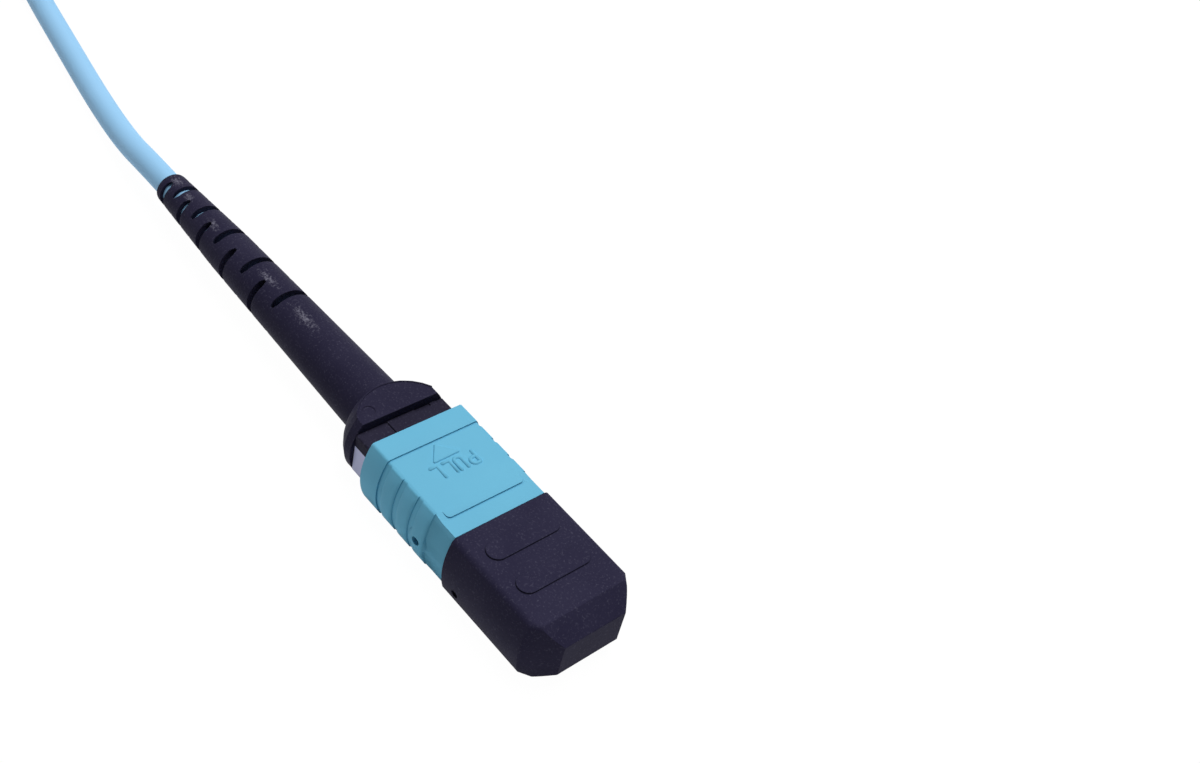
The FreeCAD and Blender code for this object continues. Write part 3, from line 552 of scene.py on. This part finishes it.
def wears_soft(edge):
    """Whether it is a sharp edge of the collar, an outer rim or the raised panel's front."""
    first, second = (vertex.co for vertex in edge.verts)
    along = (first.x, second.x)
    off_axis = (abs(first.z - AXIS_HEIGHT), abs(second.z - AXIS_HEIGHT))
    outside = max(abs(first.y), abs(second.y)) > OUTER_SIDE or min(off_axis) > OUTER_TOP
    rim = any(near(along, end) for end in (X_SLEEVE, SLEEVE_HIGH[0], COLLAR_FRONT))
    panel = (min(along) > PANEL_FRONT - PANEL_CORNER and max(along) < PANEL_FRONT + NEAR
             and near(off_axis, PANEL_TOP - AXIS_HEIGHT))
    return edge.calc_face_angle_signed(0.0) > SHARP and ((outside and rim) or panel)


def soften_sleeve(aqua):
    """A copy of the sleeve with its handled edges rounded; it stands for the sleeve."""
    builder = bmesh.new()
    builder.from_mesh(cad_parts["coupling_sleeve"].data)
    bmesh.ops.remove_doubles(builder, verts=builder.verts, dist=MERGE)
    bmesh.ops.dissolve_limit(builder, angle_limit=FLAT, verts=builder.verts,
                             edges=builder.edges)
    bmesh.ops.bevel(builder, geom=[edge for edge in builder.edges if wears_soft(edge)],
                    offset=STEP_ROUNDING, segments=3, profile=0.5, affect="EDGES",
                    material=-1, clamp_overlap=True)
    bmesh.ops.remove_doubles(builder, verts=builder.verts, dist=MERGE)
    piece = link_mesh("sleeve_shell", builder, aqua)
    piece.data.shade_smooth()
    piece.data.set_sharp_from_angle(angle=FACET)
    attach(piece, "sleeve")
    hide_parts("coupling_sleeve")


# ---------------------------------------------------------------- springs

# Piece, the part that it stands for, the joint that works it and that joint's travel.
SPRINGS = (
    ("ferrule_spring", "main_spring", "ferrule_float", 0.7 * MM),
    ("sleeve_spring_left", "coupling_spring_left", "sleeve_pull", 1.8 * MM),
    ("sleeve_spring_right", "coupling_spring_right", "sleeve_pull", 1.8 * MM),
)


def make_springs(wire):
    """The coil springs, each a copy of the part that it stands for, shaded smooth."""
    for name, node, joint, travel in SPRINGS:
        builder = bmesh.new()
        builder.from_mesh(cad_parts[node].data)
        bmesh.ops.remove_doubles(builder, verts=builder.verts, dist=MERGE)
        piece = link_mesh(name, builder, wire)
        piece.data.shade_smooth()
        piece.data.set_sharp_from_angle(angle=SHARP)
        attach(piece, "connector")
        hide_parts(node)
        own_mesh(piece)


# ---------------------------------------------------------------- camera, floor and light

VIEW_AZIMUTH = -51.79        # of the camera seen from its target, from +X towards +Y
VIEW_ELEVATION = 42.515
VIEW_ROLL = 15.72
VIEW_DISTANCE = 160.27 * MM
VIEW_TARGET = Vector((11.55, 23.18, 3.8)) * MM
LENS = 45.0                  # its focal length in millimetres
SENSOR = 36.0                # its width in millimetres
NEAREST_SEEN = 0.01
FLOOR_REACH = 3.0            # from its middle to its sides
FLOOR_GAP = 0.02 * MM        # under what lies on it, so that their faces don't coincide
FLOOR_WHITE = (0.86, 0.86, 0.86, 1.0)
FLOOR_STRENGTH = 1.02
FLOOR_GLOW = 0.965           # share of the floor's white that the lamp doesn't make
ROOM_STRENGTH = 0.1
LAMP_PLACE = Vector((-0.1, 0.3, 1.0))
LAMP_SIZE = 0.7
LAMP_POWER = 11.7


def place_camera():
    """Puts the camera at its distance from the target, turned about its own axis."""
    data = bpy.data.cameras.new("camera")
    data.lens = LENS
    data.sensor_width = SENSOR
    data.clip_start = NEAREST_SEEN
    azimuth = math.radians(VIEW_AZIMUTH)
    elevation = math.radians(VIEW_ELEVATION)
    towards = Vector((math.cos(azimuth) * math.cos(elevation),
                      math.sin(azimuth) * math.cos(elevation), math.sin(elevation)))
    camera = bpy.data.objects.new("camera", data)
    look = (-towards).to_track_quat("-Z", "Y").to_matrix().to_4x4()
    roll = Matrix.Rotation(math.radians(VIEW_ROLL), 4, "Z")
    camera.matrix_world = Matrix.Translation(VIEW_TARGET + towards * VIEW_DISTANCE) @ look @ roll
    scene.collection.objects.link(camera)
    scene.camera = camera


def background_share(tree):
    """1 for rays that show the background to the camera, straight or by gloss or glass."""
    ray = add_node(tree, "LightPath", {})
    share = ray.outputs["Is Camera Ray"]
    for kind in ("Is Glossy Ray", "Is Transmission Ray"):
        share = add_node(tree, "Math", {0: share, 1: ray.outputs[kind]},
                         operation="MAXIMUM").outputs[0]
    return share


def pale_floor():
    """White floor: it shows nearly as bright as paper, and keeps a faint shadow of the part."""
    builder = bmesh.new()
    bmesh.ops.create_grid(builder, x_segments=1, y_segments=1, size=FLOOR_REACH)
    finish = Finish("white_floor", {"Roughness": 0.9, "Base Color": FLOOR_WHITE})
    share = finish.add("Math", {0: background_share(finish.tree), 1: FLOOR_GLOW},
                       operation="MULTIPLY")
    glow = finish.add("Emission", {"Color": WHITE, "Strength": FLOOR_STRENGTH})
    blend = finish.add("MixShader", {0: share.outputs[0], 1: finish.shader.outputs["BSDF"],
                                     2: glow.outputs["Emission"]})
    feed(finish.tree, finish.tree.nodes["Material Output"],
         {"Surface": blend.outputs["Shader"]})
    floor = link_mesh("floor", builder, finish.material)
    floor.location.z = -FLOOR_GAP


def pale_world():
    """A dim room for the part, and a white one behind it for the camera, gloss and glass."""
    world = bpy.data.worlds.new("studio")
    world.use_nodes = True
    tree = world.node_tree
    room = tree.nodes["Background"]
    feed(tree, room, {"Color": WHITE, "Strength": ROOM_STRENGTH})
    paper = add_node(tree, "Background", {"Color": WHITE})
    blend = add_node(tree, "MixShader", {"Fac": background_share(tree),
                                         1: room.outputs["Background"],
                                         2: paper.outputs["Background"]})
    feed(tree, tree.nodes["World Output"], {"Surface": blend.outputs["Shader"]})
    scene.world = world


def soft_lamp():
    """One large lamp overhead, past the part from the camera, so its shadow is faint and soft."""
    data = bpy.data.lights.new("key", "AREA")
    data.shape = "RECTANGLE"
    data.size = LAMP_SIZE
    data.size_y = LAMP_SIZE
    data.energy = LAMP_POWER
    lamp = bpy.data.objects.new("key", data)
    lamp.matrix_world = (Matrix.Translation(LAMP_PLACE)
                         @ (-LAMP_PLACE).to_track_quat("-Z", "Y").to_matrix().to_4x4())
    scene.collection.objects.link(lamp)


# ---------------------------------------------------------------- all together

place_camera()
finishes = dress_frame()
make_cable(finishes["jacket"])
make_sign(finishes["sign"])
make_witness_line(finishes["boot"])
soften_sleeve(finishes["aqua"])
make_springs(finishes["wire"])
pale_floor()
pale_world()
soft_lamp()
scene.view_settings.view_transform = "Standard"
